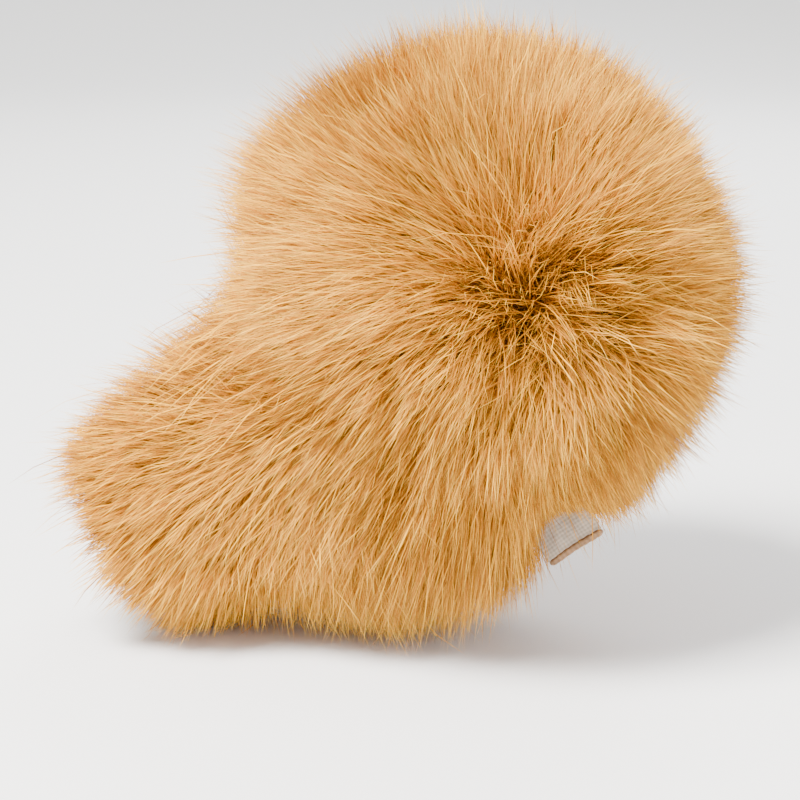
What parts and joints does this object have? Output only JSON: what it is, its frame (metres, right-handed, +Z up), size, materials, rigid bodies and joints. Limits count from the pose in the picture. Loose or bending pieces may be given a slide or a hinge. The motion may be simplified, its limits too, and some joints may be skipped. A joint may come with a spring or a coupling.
{
  "type": "furry microphone windscreen",
  "caption": "Long-pile furry windscreen: a basket with a rear neck that grips a gun microphone, inside a sewn slip-on fur cover.",
  "frame": {"origin": "on the table, under the middle of the object's box", "axes": "+X to the end with the nose, +Z up; the microphone's axis lies in the XZ plane and rises 35 degrees towards +X"},
  "size_m": [0.1898, 0.144, 0.16],
  "materials": {
    "fur": "long acrylic pile, golden tan, glossy strands",
    "lining_cloth": "knitted backing cloth",
    "binding_cloth": "woven binding",
    "tab_cloth": "plain pale grey woven cloth",
    "piping": "tan corded edge",
    "elastic": "covered elastic",
    "cage_plastic": "moulded nylon",
    "ring_plastic": "moulded nylon, finer",
    "gauze": "fine acoustic gauze",
    "foam": "open-cell foam",
    "gasket_rubber": "soft rubber",
    "screw_steel": "plated steel"
  },
  "bodies": {
    "core": {"neck_tube": "cage_plastic", "mic_gasket": "gasket_rubber", "end_ring": "ring_plastic", "ring_screws": "screw_steel", "rear_cage": "cage_plastic", "bayonet_ring": "ring_plastic", "rear_gauze": "gauze", "rear_foam": "foam"},
    "front_basket": {"front_cage": "cage_plastic", "front_gauze": "gauze", "front_foam": "foam", "nose_cap": "ring_plastic"},
    "cover": {"fur_upper_left": "fur", "fur_upper_right": "fur", "fur_lower_left": "fur", "fur_lower_right": "fur", "fur_rear_left": "fur", "fur_rear_right": "fur", "fur_tail_left": "fur", "fur_tail_right": "fur", "head_lining": "lining_cloth", "neck_lining": "lining_cloth", "mouth_binding": "binding_cloth", "mouth_elastic": "elastic", "seam_tab": "tab_cloth", "seam_tab_edge": "piping"}
  },
  "joints": [
    {"name": "cover_pull", "type": "slide", "parent": "core", "child": "cover", "axis": [0.8192, 0, 0.5736], "range_m": [0, 0.19], "deforming": ["fur_rear_left", "fur_rear_right", "fur_tail_left", "fur_tail_right", "neck_lining", "mouth_binding", "mouth_elastic"]},
    {"name": "bayonet_twist", "type": "hinge", "parent": "core", "child": "front_basket", "pos_m": [0.02291, 0, 0.088], "axis": [0.8192, 0, 0.5736], "range_deg": [0, 25]}
  ]
}
